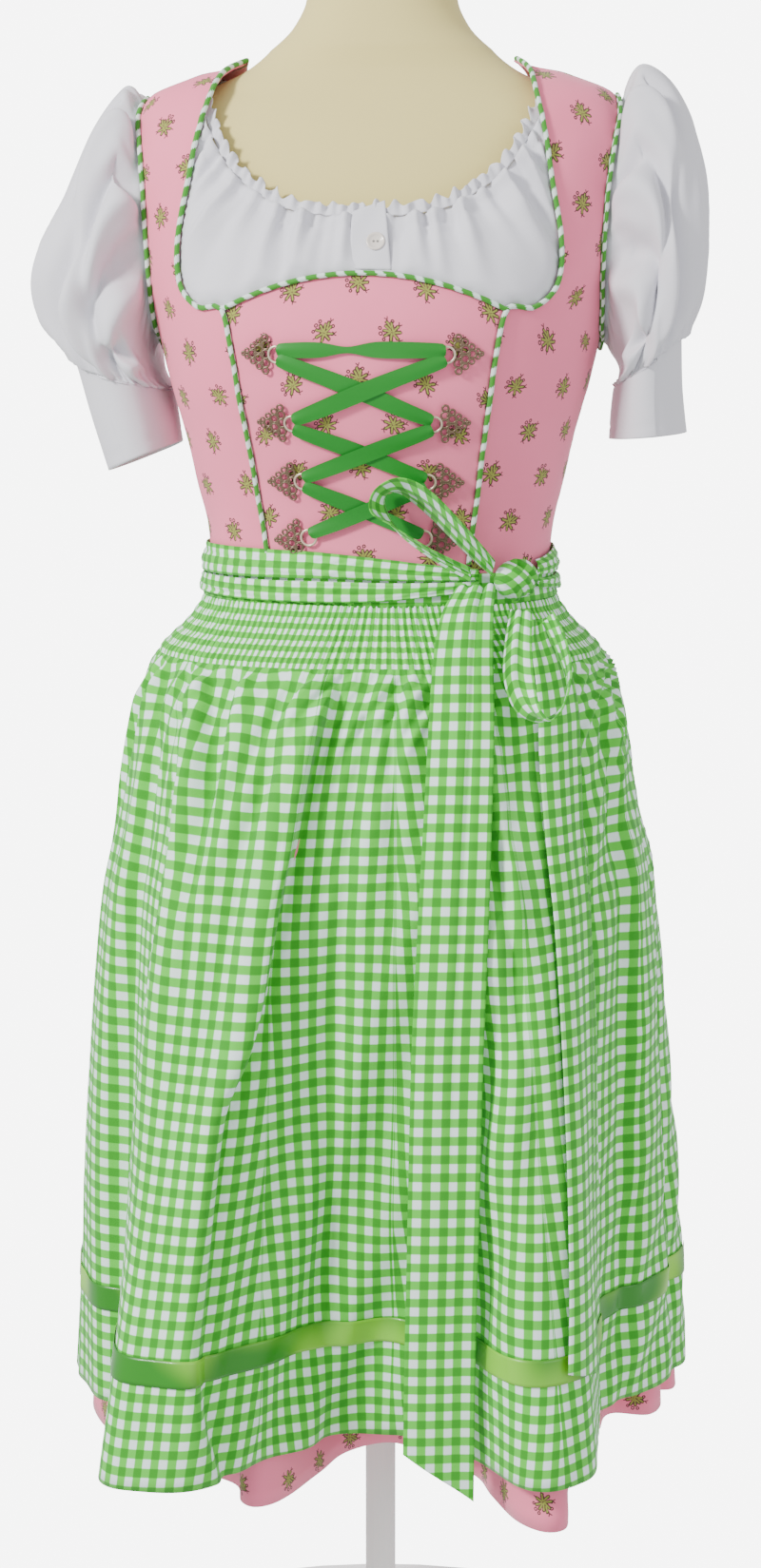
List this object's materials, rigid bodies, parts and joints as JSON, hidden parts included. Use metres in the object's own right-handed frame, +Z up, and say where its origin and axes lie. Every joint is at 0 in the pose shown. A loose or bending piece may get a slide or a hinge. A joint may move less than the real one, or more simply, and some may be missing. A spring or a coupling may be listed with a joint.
{
  "type": "dirndl dress with blouse and apron on a dress form",
  "caption": "Pink print dirndl with laced bodice, white puff-sleeved blouse and green check apron tied in a bow, worn by a limbless dress form on a stand.",
  "frame": {"origin": "centre of the underside of the form's base, on the floor", "axes": "+Z up, -Y towards the dress's front, +X towards the wearer's left, which is right as seen from the front"},
  "size_m": [0.5218, 0.5189, 1.5],
  "materials": {
    "form_fabric": "smooth cream jersey, matt",
    "white_lacquer": "white satin lacquer",
    "white_cotton": "plain white cotton, finely gathered",
    "pearl": "pearly, polished",
    "pink_print": "matt pink cotton with small olive posies",
    "check_piping": "green and white check cotton cut on the bias",
    "green_check": "green and white gingham cotton, soft and matt",
    "satin_green": "glossy satin ribbon",
    "lacing_green": "woven ribbon, slightly shiny",
    "brass": "antiqued filigree, dark in the hollows"
  },
  "bodies": {
    "root": {"apron_bow_loop_lower": "green_check", "apron_bow_loop_upper": "green_check", "apron_knot": "green_check", "apron_panel": "green_check", "apron_ribbon": "satin_green", "apron_tail_long": "green_check", "apron_tail_short": "green_check", "apron_tie_back_lower": "green_check", "apron_tie_back_upper": "green_check", "apron_tie_front_lower": "green_check", "apron_tie_front_upper": "green_check", "apron_waistband": "green_check", "blouse_back": "white_cotton", "blouse_button": "pearl", "blouse_cuff_left": "white_cotton", "blouse_cuff_right": "white_cotton", "blouse_front": "white_cotton", "blouse_neck_ruffle": "white_cotton", "blouse_placket": "white_cotton", "blouse_sleeve_left": "white_cotton", "blouse_sleeve_right": "white_cotton", "bodice_centre_back": "pink_print", "bodice_centre_front": "pink_print", "bodice_side_back_left": "pink_print", "bodice_side_back_right": "pink_print", "bodice_side_front_left": "pink_print", "bodice_side_front_right": "pink_print", "form_base": "white_lacquer", "form_pole": "white_lacquer", "form_torso": "form_fabric", "hook_left_1": "brass", "hook_left_2": "brass", "hook_left_3": "brass", "hook_left_4": "brass", "hook_right_1": "brass", "hook_right_2": "brass", "hook_right_3": "brass", "hook_right_4": "brass", "lacing_1": "lacing_green", "lacing_2": "lacing_green", "lacing_3": "lacing_green", "lacing_4": "lacing_green", "lacing_5": "lacing_green", "lacing_6": "lacing_green", "lacing_7": "lacing_green", "piping_armhole_left": "check_piping", "piping_armhole_right": "check_piping", "piping_neck": "check_piping", "piping_seam_left": "check_piping", "piping_seam_right": "check_piping", "skirt_back": "pink_print", "skirt_front": "pink_print"}
  },
  "joints": []
}
